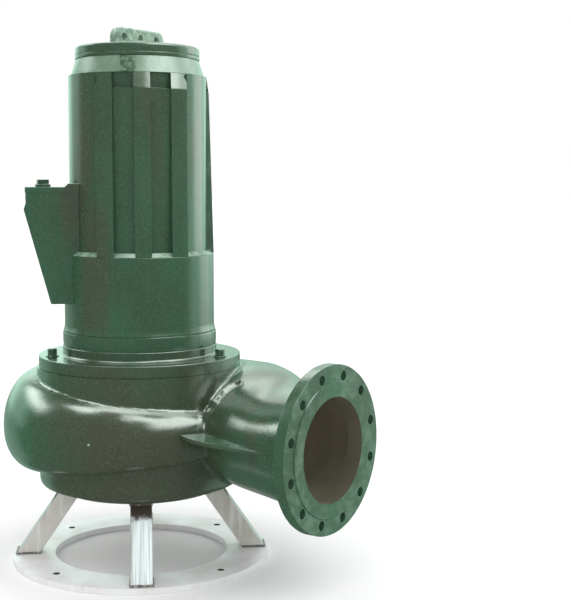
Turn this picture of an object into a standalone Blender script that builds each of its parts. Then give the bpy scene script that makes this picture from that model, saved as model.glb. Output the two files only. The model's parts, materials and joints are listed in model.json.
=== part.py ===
"""Sewage pump: a vertical submersible motor on a spiral casing, standing on four raked legs.

Metres, +Z up, +X out of the discharge flange. Everything is built about the shaft, and one
empty then sets the whole pump back so that the origin lies under the middle of its box.
"""

import math

import bmesh
import bpy
from mathutils import Matrix, Vector

# Place of the shaft in the finished frame
SHAFT_X = -0.114
SHAFT_Y = -0.033

GAP = 0.0003            # left between pieces that touch
ROUND = 48              # sides of a large turned piece
SMALL_ROUND = 24        # sides of a small one

# Directions about the shaft, in degrees from +X towards +Y
FRONT = -45.0           # middle front rib of the motor
BOX_SIDE = FRONT - 90.0
LEG_FIRST = -48.6
ANCHOR_FIRST = -5.5     # anchor holes in the foot ring, between the legs
LEG_COUNT = 4

# Stand
FOOT_RING_OUTER = 0.330
FOOT_RING_INNER = 0.2225
FOOT_RING_THICK = 0.015
ANCHOR_RADIUS = 0.2835
ANCHOR_HOLE = 0.009
LEG_WIDTH = 0.053
LEG_DEPTH = 0.058       # measured level, across the rake
LEG_FOOT_RADIUS = 0.291
LEG_HEAD_RADIUS = 0.175
HEAD_RING_OUTER = 0.206
HEAD_RING_INNER = 0.118
HEAD_RING_THICK = 0.014

# Spiral casing
CASING_BOTTOM = 0.200
CASING_TOP = 0.502
CASING_MIDDLE = 0.350   # height of the spiral's middle and of the discharge
DRUM_RADIUS = 0.2585
NECK_RADIUS = 0.261
SPIRAL_CENTRE = 0.258   # radius of the middle of the spiral's section
CASING_WALL = 0.016
CHAMBER_RADIUS = 0.178
COVER_BORE = 0.240
COVER_SEAT = 0.454
SUCTION_BORE = 0.215
SUCTION_SEAT = 0.2403
TONGUE = -10.5          # where the spiral starts, turning clockwise from above

# Covers that close the casing above and below
COVER_NECK = 0.196
SUCTION_RIM = 0.170
SUCTION_TOP = 0.262
WEAR_SEAT = 0.135
WEAR_RADIUS = 0.1205
WEAR_TOP = 0.284
INLET_RADIUS = 0.103
INLET_MOUTH = 0.118

# Discharge
FLANGE_FACE = 0.594
FLANGE_THICK = 0.028
RAISED_FACE = 0.003
FLANGE_RADIUS = 0.200
RAISED_RADIUS = 0.160
BORE_RADIUS = 0.125
BOLT_CIRCLE = 0.175
BOLT_HOLE = 0.0115
BOLT_COUNT = 12
FLANGE_HUB = 0.152
HUB_END = 0.050         # depth of the hub behind the face
WEB_THICK = 0.009
WEB_TOP = 0.3886        # on the shaft's line, from where it falls towards the flange
WEB_FALL = math.radians(4.6)

# Motor, from the casing upwards
COVER_RADIUS = 0.2567
COVER_TOP = 0.5315
BASE_BOTTOM = 0.556
BASE_TOP = 0.592
LOWER_RADIUS = 0.190
LOWER_TOP = 0.786
VALLEY_RADIUS = 0.1734
POCKET_RADIUS = 0.159
RIB_HALF = 0.020        # ribs have parallel flanks
RIB_PITCH = 0.091
RIB_RADIUS_LOW = 0.190
RIB_RADIUS_HIGH = 0.179
SEAT_SLOPE = 0.010      # height of the sloped seat above the lower housing
RIB_SHOULDER = 1.192    # where the ribs start to slope in
CONE_LOW = 1.231
CONE_HIGH = 1.272
CONE_LOW_RADIUS = 0.1665
CAP_RADIUS = 0.1555
CAP_TOP = 1.304

# Lifting bail, a plate that stands square to the discharge
BAIL_TOP = 1.3495
BAIL_LENGTH = 0.180
BAIL_THICK = 0.024
BAIL_CORNER = 0.022
EYE_RADIUS = 0.011
EYE_PITCH = 0.060
EYE_HEIGHT = 1.325

# Cable box
BOX_BOTTOM = 0.667
BOX_TOP = 0.955
BOX_HALF = 0.088
BOX_REACH = 0.280
BOX_KNEE = 0.285
KNEE_HEIGHT = 0.9005
BOX_FOOT_REACH = 0.2225
LID_THICK = 0.014
GLAND_PLACE = 0.2395    # out from the shaft
GLAND_SIZE = 0.0195
PLUG_SIZE = 0.0163

# Rotor
SHAFT_RADIUS = 0.030
SHAFT_CLEAR = 0.00035
SHAFT_BOTTOM = 0.336
SHAFT_TOP = 0.575
IMPELLER_RADIUS = 0.170
IMPELLER_BOTTOM = 0.256
IMPELLER_TOP = 0.440
DISC_LOW = 0.398        # underside of the impeller's disc at its rim
HUB_RADIUS = 0.046
IMPELLER_EYE = 0.102
SKIRT_RADIUS = 0.115
SHROUD_TOP = 0.308
BLADE_COUNT = 3
BLADE_START = 0.044
BLADE_SWEEP = 150       # degrees that a vane turns from the hub to the rim
BLADE_THICK = 0.012
BLADE_TOP = 0.408
WASHER_RADIUS = 0.038
WASHER_THICK = 0.008
SCREW_RADIUS = 0.018
SCREW_HEAD = 0.014

GREEN = (0.085, 0.19, 0.125)
ZINC = (0.62, 0.63, 0.65)
IRON = (0.11, 0.08, 0.055)
STEEL = (0.45, 0.46, 0.47)


def start_scene():
    """Empties the scene and makes the two collections and the empty that carries the pump."""
    for ob in list(bpy.data.objects):
        bpy.data.objects.remove(ob, do_unlink=True)
    pump = bpy.data.collections.new("sewage_pump")
    cutters = bpy.data.collections.new("cutters")
    for group in (pump, cutters):
        bpy.context.scene.collection.children.link(group)
    carrier = bpy.data.objects.new("shaft_line", None)
    carrier.location = (SHAFT_X, SHAFT_Y, 0)
    pump.objects.link(carrier)
    return pump, cutters, carrier


def finish(name, colour, roughness, metallic):
    mat = bpy.data.materials.new(name)
    mat.use_nodes = True
    shader = mat.node_tree.nodes["Principled BSDF"]
    shader.inputs["Base Color"].default_value = (*colour, 1)
    shader.inputs["Roughness"].default_value = roughness
    shader.inputs["Metallic"].default_value = metallic
    return mat


PUMP, CUTTERS, CARRIER = start_scene()
KINDS = {
    "paint": (GREEN, 0.4, 0.0),
    "zinc": (ZINC, 0.45, 0.9),
    "iron": (IRON, 0.65, 0.2),
    "steel": (STEEL, 0.35, 1.0),
}


def piece(name, mesh, kind="paint"):
    """A finished sub-part, carried by the shaft line."""
    ob = bpy.data.objects.new(name, mesh)
    PUMP.objects.link(ob)
    ob.parent = CARRIER
    ob.data.materials.append(finish(name + "_finish", *KINDS[kind]))
    ob.data.shade_smooth()
    ob.data.set_sharp_from_angle(angle=math.radians(35))
    return ob


def helper(name, mesh):
    """A shape that cuts or joins another and isn't part of the pump."""
    ob = bpy.data.objects.new(name, mesh)
    CUTTERS.objects.link(ob)
    ob.parent = CARRIER
    ob.hide_render = True
    ob.display_type = "WIRE"
    return ob


def combine(ob, other, operation):
    step = ob.modifiers.new(operation.lower() + "_" + other.name, "BOOLEAN")
    step.operation = operation
    step.object = other
    step.solver = "EXACT"
    return step


def cut(ob, other):
    combine(ob, other, "DIFFERENCE")


def join(ob, other):
    return combine(ob, other, "UNION")


def outline_mesh(name, points, closed):
    mesh = bpy.data.meshes.new(name)
    edges = [(n, n + 1) for n in range(len(points) - 1)]
    if closed:
        edges.append((len(points) - 1, 0))
    mesh.from_pydata([(r, 0, z) for r, z in points], edges, [])
    return mesh


def turn(ob, sides):
    """Turns an outline about the object's own Z axis."""
    screw = ob.modifiers.new("turn", "SCREW")
    screw.axis = "Z"
    screw.angle = math.tau
    screw.steps = screw.render_steps = sides
    screw.use_merge_vertices = True
    screw.merge_threshold = 0.0001
    return ob


def solid_points(points):
    """An outline from the axis down the outer side, closed onto the axis at both ends."""
    return [(0, points[0][1]), *points, (0, points[-1][1])]


def turned(name, points, kind="paint", sides=ROUND):
    """A solid of revolution: points run from the top down its outer side."""
    return turn(piece(name, outline_mesh(name, solid_points(points), False), kind), sides)


def turned_ring(name, points, kind="paint", sides=ROUND):
    """A ring: points run down its outer side and up its inner one."""
    return turn(piece(name, outline_mesh(name, points, True), kind), sides)


def turned_helper(name, points, sides=ROUND):
    return turn(helper(name, outline_mesh(name, solid_points(points), False)), sides)


def rod_mesh(name, radius, low, high, at=(0, 0), sides=SMALL_ROUND):
    bm = bmesh.new()
    middle = Matrix.Translation((at[0], at[1], (low + high) / 2))
    bmesh.ops.create_cone(
        bm, cap_ends=True, segments=sides, radius1=radius, radius2=radius,
        depth=high - low, matrix=middle)
    mesh = bpy.data.meshes.new(name)
    bm.to_mesh(mesh)
    bm.free()
    return mesh


def prism_mesh(name, points, low, high, place=None):
    """A flat outline of (x, y) points, anticlockwise, raised from low to high."""
    bm = bmesh.new()
    face = bm.faces.new([bm.verts.new((x, y, low)) for x, y in points])
    raised = bmesh.ops.extrude_face_region(bm, geom=[face])
    top = [v for v in raised["geom"] if isinstance(v, bmesh.types.BMVert)]
    bmesh.ops.translate(bm, vec=(0, 0, high - low), verts=top)
    if place is not None:
        bmesh.ops.transform(bm, matrix=place, verts=bm.verts)
    bmesh.ops.recalc_face_normals(bm, faces=bm.faces)
    mesh = bpy.data.meshes.new(name)
    bm.to_mesh(mesh)
    bm.free()
    return mesh


def loft_mesh(name, rings):
    """Skins closed rings with the same number of points, and closes both ends."""
    bm = bmesh.new()
    rows = [[bm.verts.new(p) for p in ring] for ring in rings]
    count = len(rows[0])
    for one, two in zip(rows, rows[1:]):
        for n in range(count):
            m = (n + 1) % count
            bm.faces.new((one[n], one[m], two[m], two[n]))
    bm.faces.new(rows[0])
    bm.faces.new(reversed(rows[-1]))
    bmesh.ops.recalc_face_normals(bm, faces=bm.faces)
    mesh = bpy.data.meshes.new(name)
    bm.to_mesh(mesh)
    bm.free()
    return mesh


def about(angle, radius, z=0.0):
    """The point at an angle, in degrees, and a radius about the shaft."""
    a = math.radians(angle)
    return Vector((radius * math.cos(a), radius * math.sin(a), z))


def between(table, x):
    """Reads a value from (x, value) pairs by a smooth curve through them."""
    if x <= table[0][0]:
        return table[0][1]
    for n in range(len(table) - 1):
        (x0, y0), (x1, y1) = table[n], table[n + 1]
        if x <= x1:
            before = table[max(n - 1, 0)]
            after = table[min(n + 2, len(table) - 1)]
            slope0 = (y1 - before[1]) / (x1 - before[0])
            slope1 = (after[1] - y0) / (after[0] - x0)
            t = (x - x0) / (x1 - x0)
            d = x1 - x0
            return (y0 * (1 + 2 * t) * (1 - t) ** 2 + y1 * t * t * (3 - 2 * t)
                    + d * slope0 * t * (1 - t) ** 2 - d * slope1 * t * t * (1 - t))
    return table[-1][1]


# Spiral: degrees of wrap from the tongue against the outer radius and the half height
SPIRAL_REACH = [(-14, 0.280), (0, 0.290), (40, 0.300), (78, 0.322), (128, 0.349),
                (180, 0.372), (258, 0.396), (270, 0.396)]
SPIRAL_HALF = [(-14, 0.050), (0, 0.060), (40, 0.081), (78, 0.103), (128, 0.133),
               (180, 0.143), (258, 0.144), (270, 0.144)]
SPIRAL_LOW = 0.85       # the half below the middle is this much flatter
SPIRAL_END = 258        # there the section's plane stands square to the discharge
# Discharge branch: distance along +X against its back and front walls, and its height above
# and depth below the middle
BRANCH_END = 0.573      # inside the flange
BRANCH_BACK = [(0.0, 0.392), (0.1, 0.383), (0.2, 0.350), (0.3, 0.295), (0.42, 0.220),
               (0.5, 0.172), (BRANCH_END, 0.142)]
BRANCH_FRONT = [(0.0, 0.158), (0.1, 0.060), (0.2, -0.040), (0.255, -0.070), (0.3, -0.088),
                (0.4, -0.108), (0.5, -0.130), (BRANCH_END, -0.142)]
BRANCH_UP = [(0.0, 0.1415), (0.1, 0.145), (0.2, 0.150), (0.27, 0.153), (0.34, 0.146),
             (0.4, 0.133), (0.46, 0.132), (BRANCH_END, 0.139)]
BRANCH_DOWN = [(0.0, 0.122), (0.1, 0.128), (0.2, 0.142), (0.24, 0.147), (0.31, 0.157),
               (0.4, 0.159), (0.5, 0.157), (BRANCH_END, 0.150)]
SECTION_POINTS = 24


def section(origin, out, inner, outer, centre, half, power, phase=0.0, low_share=1.0):
    """A rounded section in the upright plane through origin along the level direction out."""
    ring = []
    for n in range(SECTION_POINTS):
        t = math.tau * (n + phase) / SECTION_POINTS
        c, s = math.cos(t), math.sin(t)
        across = math.copysign(abs(c) ** (2 / power), c)
        up = math.copysign(abs(s) ** (2 / power), s)
        reach = (outer - centre) if c >= 0 else (centre - inner)
        height = half * up * (low_share if up < 0 else 1)
        ring.append(origin + out * (centre + across * reach) + Vector((0, 0, height)))
    return ring


def spiral_rings():
    """Outer skin of the casing's spiral, run a little way into the branch."""
    rings = []
    wraps = [-14, 0] + [15 * n for n in range(1, 18)] + [SPIRAL_END, SPIRAL_END + 12]
    middle = Vector((0, 0, CASING_MIDDLE))
    for wrap in wraps:
        out = about(TONGUE - wrap, 1)
        reach = between(SPIRAL_REACH, wrap)
        rings.append(section(middle, out, 0.16, reach, SPIRAL_CENTRE,
                             between(SPIRAL_HALF, wrap), 2.25, low_share=SPIRAL_LOW))
    return rings


def branch_rings():
    """Outer skin of the discharge branch."""
    rings = []
    middle = Vector((0, 0, CASING_MIDDLE))
    for x in (0.01, 0.05, 0.1, 0.15, 0.2, 0.25, 0.3, 0.35, 0.4, 0.46, 0.52, BRANCH_END):
        back = between(BRANCH_BACK, x)
        front = between(BRANCH_FRONT, x)
        share = x / BRANCH_END
        centre = (1 - share) * SPIRAL_CENTRE * 0.9 + share * (back + front) / 2
        rings.append(section(middle + Vector((x, 0, 0)), Vector((0, 1, 0)), front, back,
                             centre, between(BRANCH_UP, x), 2.25 - 0.25 * share,
                             low_share=between(BRANCH_DOWN, x) / between(BRANCH_UP, x)))
    return rings


def passage_rings():
    """Inside of the spiral and the branch, one wall thickness in from the skin."""
    rings = []
    inner = CHAMBER_RADIUS - 0.013
    middle = Vector((0, 0, CASING_MIDDLE))
    for wrap in [0] + [15 * n for n in range(1, 18)] + [SPIRAL_END]:
        reach = min(between(SPIRAL_REACH, wrap) - CASING_WALL, 0.212 + 0.0013 * wrap)
        centre = min(SPIRAL_CENTRE, inner + 0.6 * (reach - inner))
        half = between(SPIRAL_HALF, wrap) - CASING_WALL
        half = min(half, 0.096 + 0.0001 * wrap)
        rings.append(section(middle, about(TONGUE - wrap, 1), inner, reach, centre, half, 2.4, 0.5))
    stations = [(0.06, 0.150), (0.12, 0.100), (0.18, 0.010), (0.22, -0.026), (0.26, -0.050),
                (0.3, -0.070), (0.38, -0.088), (0.48, -0.110), (0.555, -BORE_RADIUS),
                (FLANGE_FACE + 0.02, -BORE_RADIUS)]
    for x, front in stations:
        back = between(BRANCH_BACK, x) - CASING_WALL
        share = min(1.0, x / 0.555)
        if share == 1.0:
            back = BORE_RADIUS
        half = between([(0.0, 0.121), (0.3, 0.121), (0.4, 0.116), (0.48, 0.117),
                        (0.555, BORE_RADIUS)], x)
        centre = (1 - share) * SPIRAL_CENTRE * 0.85 + share * (back + front) / 2
        rings.append(section(middle + Vector((x, 0, 0)), Vector((0, 1, 0)), front, back,
                             centre, half, 2.4 - 0.4 * share, 0.5))
    return rings


def facing_discharge(ob, x):
    """Turns an object's own Z axis to +X, on the discharge's line."""
    ob.location = (x, 0, CASING_MIDDLE)
    ob.rotation_euler = (0, math.radians(90), 0)
    return ob


def volute_casing():
    casing = turned("volute_casing", [
        (NECK_RADIUS - 0.006, CASING_TOP), (NECK_RADIUS, CASING_TOP - 0.006),
        (NECK_RADIUS, 0.42), (DRUM_RADIUS, 0.38), (DRUM_RADIUS, CASING_BOTTOM + 0.013),
        (DRUM_RADIUS - 0.004, CASING_BOTTOM + 0.004), (DRUM_RADIUS - 0.013, CASING_BOTTOM)])
    join(casing, helper("spiral_skin", loft_mesh("spiral_skin", spiral_rings())))
    branch = join(casing, helper("branch_skin", loft_mesh("branch_skin", branch_rings())))
    branch.solver = "MANIFOLD"     # the exact solver loses the drum where the skins nearly meet
    flange = turned_helper("discharge_flange", [
        (RAISED_RADIUS, 0), (RAISED_RADIUS, -RAISED_FACE), (FLANGE_RADIUS, -RAISED_FACE),
        (FLANGE_RADIUS, -FLANGE_THICK - RAISED_FACE),
        (FLANGE_HUB, -FLANGE_THICK - RAISED_FACE), (FLANGE_HUB - 0.010, -HUB_END)], 60)
    join(casing, facing_discharge(flange, FLANGE_FACE))
    web = [(0.15, -0.03), (0.20, -0.13), (0.257, -0.155), (0.30, -0.156), (0.38, -0.1415),
           (0.478, -0.122), (0.48, -0.04)]
    top = Matrix.Translation((0, 0, WEB_TOP)) @ Matrix.Rotation(WEB_FALL, 4, "Y")
    join(casing, helper("web", prism_mesh("web", web, -WEB_THICK, 0, top)))
    chamber = turned_helper("chamber", [
        (COVER_BORE, CASING_TOP + 0.02), (COVER_BORE, COVER_SEAT), (CHAMBER_RADIUS, COVER_SEAT),
        (CHAMBER_RADIUS, SUCTION_SEAT), (SUCTION_BORE, SUCTION_SEAT),
        (SUCTION_BORE, CASING_BOTTOM - 0.02)])
    cut(casing, chamber)
    cut(casing, helper("passage", loft_mesh("passage", passage_rings())))
    for n in range(BOLT_COUNT):
        spread = math.radians(15 + 360 / BOLT_COUNT * n)
        at = (BOLT_CIRCLE * math.cos(spread), BOLT_CIRCLE * math.sin(spread))
        hole = helper(f"flange_hole_{n + 1}", rod_mesh("flange_hole", BOLT_HOLE, -0.06, 0.02, at, 12))
        cut(casing, facing_discharge(hole, FLANGE_FACE))


def casing_covers():
    bore = SHAFT_RADIUS + SHAFT_CLEAR
    turned_ring("casing_cover", [
        (COVER_NECK, BASE_BOTTOM - GAP), (COVER_NECK, COVER_TOP), (COVER_RADIUS - 0.003, COVER_TOP),
        (COVER_RADIUS, COVER_TOP - 0.003), (COVER_RADIUS, CASING_TOP + GAP),
        (COVER_BORE - GAP, CASING_TOP + GAP), (COVER_BORE - GAP, COVER_SEAT + GAP),
        (bore, COVER_SEAT + GAP), (bore, BASE_BOTTOM - GAP)])
    turned_ring("suction_cover", [
        (SUCTION_RIM, SUCTION_TOP), (SUCTION_RIM, SUCTION_SEAT - GAP),
        (SUCTION_BORE - GAP, SUCTION_SEAT - GAP), (SUCTION_BORE - GAP, CASING_BOTTOM),
        (INLET_MOUTH, CASING_BOTTOM), (INLET_RADIUS, CASING_BOTTOM + 0.015),
        (INLET_RADIUS, SUCTION_SEAT), (WEAR_SEAT, SUCTION_SEAT), (WEAR_SEAT, SUCTION_TOP)])
    turned_ring("wear_ring", [
        (WEAR_SEAT - GAP, WEAR_TOP), (WEAR_SEAT - GAP, SUCTION_SEAT + GAP),
        (WEAR_RADIUS, SUCTION_SEAT + GAP), (WEAR_RADIUS, WEAR_TOP)], "steel")


def flank_angle(offset, radius):
    """Angle from a direction at which a circle about the shaft lies this far to its left."""
    return math.degrees(math.asin(offset / radius))


def flank_point(middle, offset, radius):
    return about(middle + flank_angle(offset, radius), radius)


def stator_outline(rib, valley, pocket):
    """Section of the stator housing: groups of three ribs front and back, one at the right.

    The ribs' flanks are parallel, so an edge lies at a level offset from its group's middle,
    and between the ribs of a group the wall may be set back further, as a pocket.
    """
    group = (-RIB_PITCH, 0, RIB_PITCH)
    groups = [(FRONT, group, 6), (FRONT + 90, (0,), 6), (FRONT + 180, group, 14)]
    points = []
    for n, (middle, ribs, wall_steps) in enumerate(groups):
        for m, offset in enumerate(ribs):
            before = pocket if m else valley
            after = pocket if m < len(ribs) - 1 else valley
            points.append(flank_point(middle, offset - RIB_HALF, before))
            for share in (-1, 0, 1):
                points.append(flank_point(middle, offset + share * RIB_HALF, rib))
            points.append(flank_point(middle, offset + RIB_HALF, after))
        following, next_ribs, _ = groups[(n + 1) % len(groups)]
        start = middle + flank_angle(ribs[-1] + RIB_HALF, valley)
        end = following + flank_angle(next_ribs[0] - RIB_HALF, valley)
        end += 360 if following < middle else 0
        for k in range(1, wall_steps):
            points.append(about(start + (end - start) * k / wall_steps, valley))
    return points


def motor():
    bore = SHAFT_RADIUS + SHAFT_CLEAR
    base = turned("motor_base", [
        (0.193, BASE_TOP - GAP), (0.195, BASE_TOP - 0.003), (0.195, BASE_BOTTOM)])
    cut(base, helper("shaft_bore", rod_mesh("shaft_bore", bore, 0.5, SHAFT_TOP + 0.005, sides=48)))
    turned("lower_motor_housing", [
        (LOWER_RADIUS - 0.003, LOWER_TOP), (LOWER_RADIUS, LOWER_TOP - 0.003),
        (LOWER_RADIUS, BASE_TOP + 0.012), (LOWER_RADIUS + 0.003, BASE_TOP)])
    levels = (
        (LOWER_TOP + GAP, RIB_RADIUS_LOW, LOWER_RADIUS - 0.0005, LOWER_RADIUS - 0.0005),
        (LOWER_TOP + SEAT_SLOPE, RIB_RADIUS_LOW, VALLEY_RADIUS, VALLEY_RADIUS),
        (RIB_SHOULDER, RIB_RADIUS_HIGH, VALLEY_RADIUS, VALLEY_RADIUS),
        (RIB_SHOULDER + 0.003, RIB_RADIUS_HIGH - 0.001, VALLEY_RADIUS, POCKET_RADIUS),
        (CONE_LOW - GAP, CONE_LOW_RADIUS, VALLEY_RADIUS, POCKET_RADIUS))
    piece("stator_housing", loft_mesh("stator_housing", [
        [point + Vector((0, 0, level[0])) for point in stator_outline(*level[1:])]
        for level in levels]))
    turned("motor_end_cover", [(CAP_RADIUS - 0.002, CONE_HIGH), (CONE_LOW_RADIUS, CONE_LOW)])
    lip = CONE_HIGH + 0.009
    turned("top_cap", [
        (CAP_RADIUS - 0.013, CAP_TOP), (CAP_RADIUS - 0.005, CAP_TOP - 0.003),
        (CAP_RADIUS, CAP_TOP - 0.010), (CAP_RADIUS, lip + 0.002), (CAP_RADIUS - 0.002, lip),
        (CAP_RADIUS + 0.0005, lip - 0.002), (CAP_RADIUS + 0.0005, CONE_HIGH + GAP)])


def upright_place(angle, middle):
    """Stands a flat outline up: its x runs level along an angle, its y upwards."""
    return (Matrix.Rotation(math.radians(angle), 4, "Z") @ Matrix.Translation((0, middle, 0))
            @ Matrix.Rotation(math.radians(90), 4, "X"))


def lifting_bail():
    foot = CAP_TOP + GAP
    half = BAIL_LENGTH / 2
    side = [(-half, foot), (half, foot)]
    for end, turns in ((1, (0, 30, 60, 90)), (-1, (90, 120, 150, 180))):
        centre = end * (half - BAIL_CORNER)
        for turned_by in turns:
            t = math.radians(turned_by)
            side.append((centre + BAIL_CORNER * math.cos(t),
                         BAIL_TOP - BAIL_CORNER + BAIL_CORNER * math.sin(t)))
    place = upright_place(90, 0)
    bail = piece("lifting_bail", prism_mesh(
        "lifting_bail", side, -BAIL_THICK / 2, BAIL_THICK / 2, place))
    for n in (-1, 0, 1):
        eye = helper(f"bail_eye_{n + 2}", rod_mesh("bail_eye", EYE_RADIUS, -0.03, 0.03, sides=16))
        eye.location = (0, n * EYE_PITCH, EYE_HEIGHT)
        eye.rotation_euler = (0, math.radians(90), 0)
        cut(bail, eye)


def cable_entry():
    """Box on the motor's side that the cables go into, with its lid and one plugged gland."""
    place = upright_place(BOX_SIDE, 0)
    back = 0.150
    body_top = BOX_TOP - LID_THICK - GAP
    box = piece("cable_box", prism_mesh("cable_box", [
        (back, BOX_BOTTOM), (BOX_FOOT_REACH, BOX_BOTTOM), (BOX_KNEE, KNEE_HEIGHT),
        (BOX_REACH, KNEE_HEIGHT + 0.0155), (BOX_REACH, body_top), (back, body_top)],
        -BOX_HALF, BOX_HALF, place))
    cover = piece("cable_box_lid", prism_mesh("cable_box_lid", [
        (back, BOX_TOP - LID_THICK), (BOX_REACH + 0.001, BOX_TOP - LID_THICK),
        (BOX_REACH + 0.001, BOX_TOP), (VALLEY_RADIUS + 0.013, BOX_TOP),
        (VALLEY_RADIUS + 0.004, BOX_TOP + 0.009), (back, BOX_TOP + 0.009)],
        -BOX_HALF - 0.001, BOX_HALF + 0.001, place))
    room = turned_helper("motor_room", [
        (VALLEY_RADIUS + GAP, 1.0), (VALLEY_RADIUS + GAP, LOWER_TOP + SEAT_SLOPE),
        (LOWER_RADIUS + GAP, LOWER_TOP), (LOWER_RADIUS + GAP, 0.6)], 96)
    cut(box, room)
    cut(cover, room)
    boss_top = BOX_TOP + 0.0065
    boss = turned("cable_gland", [
        (GLAND_SIZE - 0.001, boss_top), (GLAND_SIZE, boss_top - 0.001),
        (GLAND_SIZE, BOX_TOP + GAP)], sides=SMALL_ROUND)
    plug = turned("gland_plug", [
        (PLUG_SIZE - 0.002, boss_top + 0.012), (PLUG_SIZE, boss_top + 0.010),
        (PLUG_SIZE, boss_top + GAP)], sides=SMALL_ROUND)
    for ob in (boss, plug):
        ob.location = about(BOX_SIDE, GLAND_PLACE)


def stand():
    ring = turned_ring("stand_foot_ring", [
        (FOOT_RING_OUTER, FOOT_RING_THICK), (FOOT_RING_OUTER, 0), (FOOT_RING_INNER, 0),
        (FOOT_RING_INNER, FOOT_RING_THICK)], "zinc")
    for n in range(LEG_COUNT):
        angle = LEG_FIRST + 360 / LEG_COUNT * n
        at = about(ANCHOR_FIRST + 360 / LEG_COUNT * n, ANCHOR_RADIUS)
        hole = rod_mesh("anchor_hole", ANCHOR_HOLE, -0.01, 0.03, at, 16)
        cut(ring, helper(f"anchor_hole_{n + 1}", hole))
        leg_rings = []
        for z, middle in ((FOOT_RING_THICK + GAP, LEG_FOOT_RADIUS),
                          (CASING_BOTTOM - HEAD_RING_THICK - 2 * GAP, LEG_HEAD_RADIUS)):
            corners = [(middle + a * LEG_DEPTH / 2, b * LEG_WIDTH / 2)
                       for a, b in ((-1, -1), (1, -1), (1, 1), (-1, 1))]
            turned_by = Matrix.Rotation(math.radians(angle), 3, "Z")
            leg_rings.append([turned_by @ Vector((x, y, z)) for x, y in corners])
        piece(f"stand_leg_{n + 1}", loft_mesh("stand_leg", leg_rings), "zinc")
    top = CASING_BOTTOM - GAP
    low = top - HEAD_RING_THICK
    turned_ring("stand_head_ring", [
        (HEAD_RING_OUTER, top), (HEAD_RING_OUTER, low), (HEAD_RING_INNER, low),
        (HEAD_RING_INNER, top)], "zinc")


def blade_mesh(name, first):
    """One vane, curving back from the hub to the rim and closed by the shroud below it."""
    rings = []
    steps = 12
    for n in range(steps + 1):
        share = n / steps
        radius = BLADE_START + share * (IMPELLER_RADIUS - 0.003 - BLADE_START)
        angle = first + BLADE_SWEEP * share
        half = math.degrees(BLADE_THICK / 2 / radius)
        low = SHROUD_TOP - 0.008 - 0.06 * max(0.0, radius - 0.1)
        rings.append([about(angle + side, radius, z) for side, z in (
            (-half, low), (half, low), (half, BLADE_TOP), (-half, BLADE_TOP))])
    return loft_mesh(name, rings)


def rotor():
    bore = SHAFT_RADIUS + GAP
    wheel = turned_ring("impeller", [
        (IMPELLER_RADIUS - 0.020, IMPELLER_TOP), (IMPELLER_RADIUS, IMPELLER_TOP - 0.008),
        (IMPELLER_RADIUS, DISC_LOW), (HUB_RADIUS + 0.014, DISC_LOW - 0.012),
        (HUB_RADIUS, SHAFT_BOTTOM + 0.004), (HUB_RADIUS, SHAFT_BOTTOM), (bore, SHAFT_BOTTOM),
        (bore, IMPELLER_TOP)], "iron", 48)
    shroud = turn(helper("shroud", outline_mesh("shroud", [
        (IMPELLER_RADIUS, SHROUD_TOP), (IMPELLER_RADIUS, SHROUD_TOP - 0.018),
        (SKIRT_RADIUS + 0.004, WEAR_TOP), (SKIRT_RADIUS, WEAR_TOP - 0.006),
        (SKIRT_RADIUS, IMPELLER_BOTTOM), (IMPELLER_EYE, IMPELLER_BOTTOM),
        (IMPELLER_EYE, SHROUD_TOP - 0.018), (0.120, SHROUD_TOP - 0.004)], True)), 48)
    for n in range(BLADE_COUNT):
        join(wheel, helper(f"blade_{n + 1}", blade_mesh("blade", 360 / BLADE_COUNT * n)))
    join(wheel, shroud)
    turned("shaft", [(SHAFT_RADIUS, SHAFT_TOP), (SHAFT_RADIUS, SHAFT_BOTTOM)], "steel", 48)
    washer = SHAFT_BOTTOM - GAP
    head = washer - WASHER_THICK - GAP
    turned("impeller_washer", [(WASHER_RADIUS, washer), (WASHER_RADIUS, washer - WASHER_THICK)],
           "steel", SMALL_ROUND)
    turned("impeller_screw", [(SCREW_RADIUS, head), (SCREW_RADIUS, head - SCREW_HEAD)], "steel", 6)


volute_casing()
casing_covers()
motor()
lifting_bail()
cable_entry()
stand()
rotor()
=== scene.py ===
import json
from math import asin, copysign, cos, degrees, pi, radians, sin, tau

import bmesh
import bpy
from mathutils import Matrix, Vector


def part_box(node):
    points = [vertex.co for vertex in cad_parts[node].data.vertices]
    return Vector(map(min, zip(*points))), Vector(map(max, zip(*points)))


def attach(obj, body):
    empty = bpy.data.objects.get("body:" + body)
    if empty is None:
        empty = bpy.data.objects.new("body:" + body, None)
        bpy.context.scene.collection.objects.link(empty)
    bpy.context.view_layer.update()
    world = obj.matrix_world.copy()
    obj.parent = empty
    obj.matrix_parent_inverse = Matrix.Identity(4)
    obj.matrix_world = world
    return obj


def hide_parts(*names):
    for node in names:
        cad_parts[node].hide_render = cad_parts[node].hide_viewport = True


# The CAD frame that every piece keeps to

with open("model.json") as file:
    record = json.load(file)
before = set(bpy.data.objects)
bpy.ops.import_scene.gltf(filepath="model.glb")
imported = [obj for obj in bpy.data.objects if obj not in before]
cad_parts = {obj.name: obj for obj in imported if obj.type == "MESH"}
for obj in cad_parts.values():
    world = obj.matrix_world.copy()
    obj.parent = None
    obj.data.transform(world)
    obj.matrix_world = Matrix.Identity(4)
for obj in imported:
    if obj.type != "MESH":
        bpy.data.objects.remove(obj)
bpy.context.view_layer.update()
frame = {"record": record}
RECORD = frame["record"]
BODY = {node: body for body, nodes in RECORD["behaviour"]["bodies"].items() for node in nodes}


def low(node):
    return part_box(node)[0].z


def high(node):
    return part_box(node)[1].z


def reach(node):
    """Outer radius of a round node."""
    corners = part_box(node)
    return (corners[1].y - corners[0].y) / 2


SHAFT = Vector(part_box("shaft")[0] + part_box("shaft")[1]) / 2
SHAFT.z = 0
FLOOR = low("stand_foot_ring")
GAP = 0.0003  # left between pieces that touch
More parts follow.
